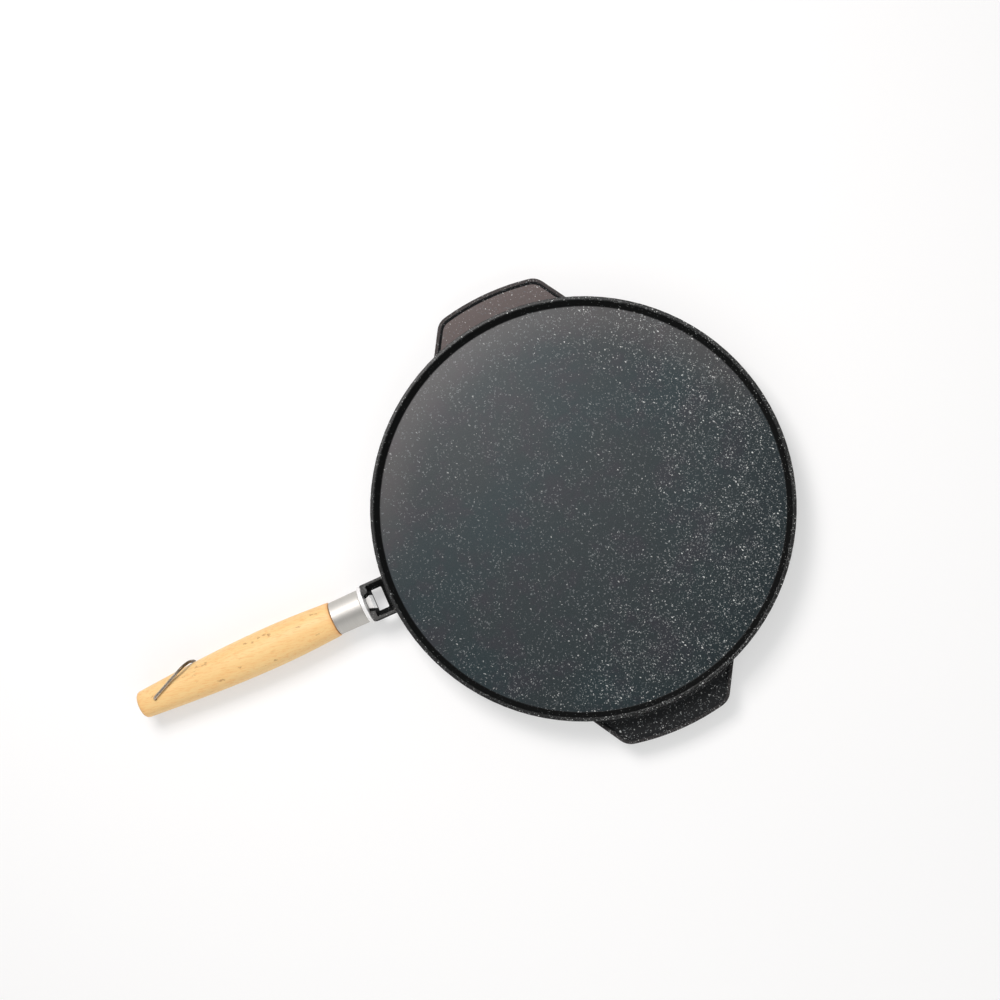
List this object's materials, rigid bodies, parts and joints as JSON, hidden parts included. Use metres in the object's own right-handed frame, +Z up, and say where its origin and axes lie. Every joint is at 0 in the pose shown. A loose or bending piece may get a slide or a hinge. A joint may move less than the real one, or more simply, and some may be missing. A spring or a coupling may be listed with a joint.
{
  "type": "reversible grill pan",
  "caption": "Round cast grill pan, smooth on one side and ribbed on the other, with two ears and a wooden handle that clamps into a bracket and has a wire hanging bail.",
  "frame": {"origin": "centre of the bounding box's footprint, on the surface the pan lies on", "axes": "+X from the handle's tail to the pan's far side, +Y to the left ear as seen from the handle, +Z up out of the smooth side"},
  "size_m": [0.5694, 0.386, 0.038],
  "materials": {
    "coated_aluminium": "dark grey non-stick coating with pale mineral flecks",
    "cast_zinc": "die cast, tumbled",
    "threaded_steel": "zinc plated thread",
    "plated_steel": "bright plated",
    "brushed_aluminium": "turned and brushed",
    "insert_steel": "zinc plated",
    "beech": "turned, sanded and oiled",
    "steel_wire": "bright drawn wire"
  },
  "bodies": {
    "pan": {"pan_casting": "coated_aluminium"},
    "key": {"clamp_key": "cast_zinc", "draw_stud": "threaded_steel"},
    "collar": {"clamp_collar": "plated_steel"},
    "handle": {"ferrule": "brushed_aluminium", "grip": "beech", "insert_nut": "insert_steel"},
    "bail": {"hanging_bail": "steel_wire"}
  },
  "joints": [
    {"name": "handle_lift", "type": "slide", "parent": "pan", "child": "key", "axis": [0, 0, 1], "range_m": [0, 0.02]},
    {"name": "clamp_travel", "type": "slide", "parent": "key", "child": "collar", "axis": [-1, 0, 0], "range_m": [0, 0.002]},
    {"name": "grip_turn", "type": "hinge", "parent": "collar", "child": "handle", "pos_m": [-0.07658, 0, 0.019], "axis": [-1, 0, 0], "range_deg": [0, 720]},
    {"name": "bail_swing", "type": "hinge", "parent": "handle", "child": "bail", "pos_m": [-0.26768, 0, 0.019], "axis": [0, 0, 1], "range_deg": [0, 311]}
  ],
  "couplings": [
    {"joint": "clamp_travel", "follows": "grip_turn", "m_per_rad": 0.000159}
  ]
}
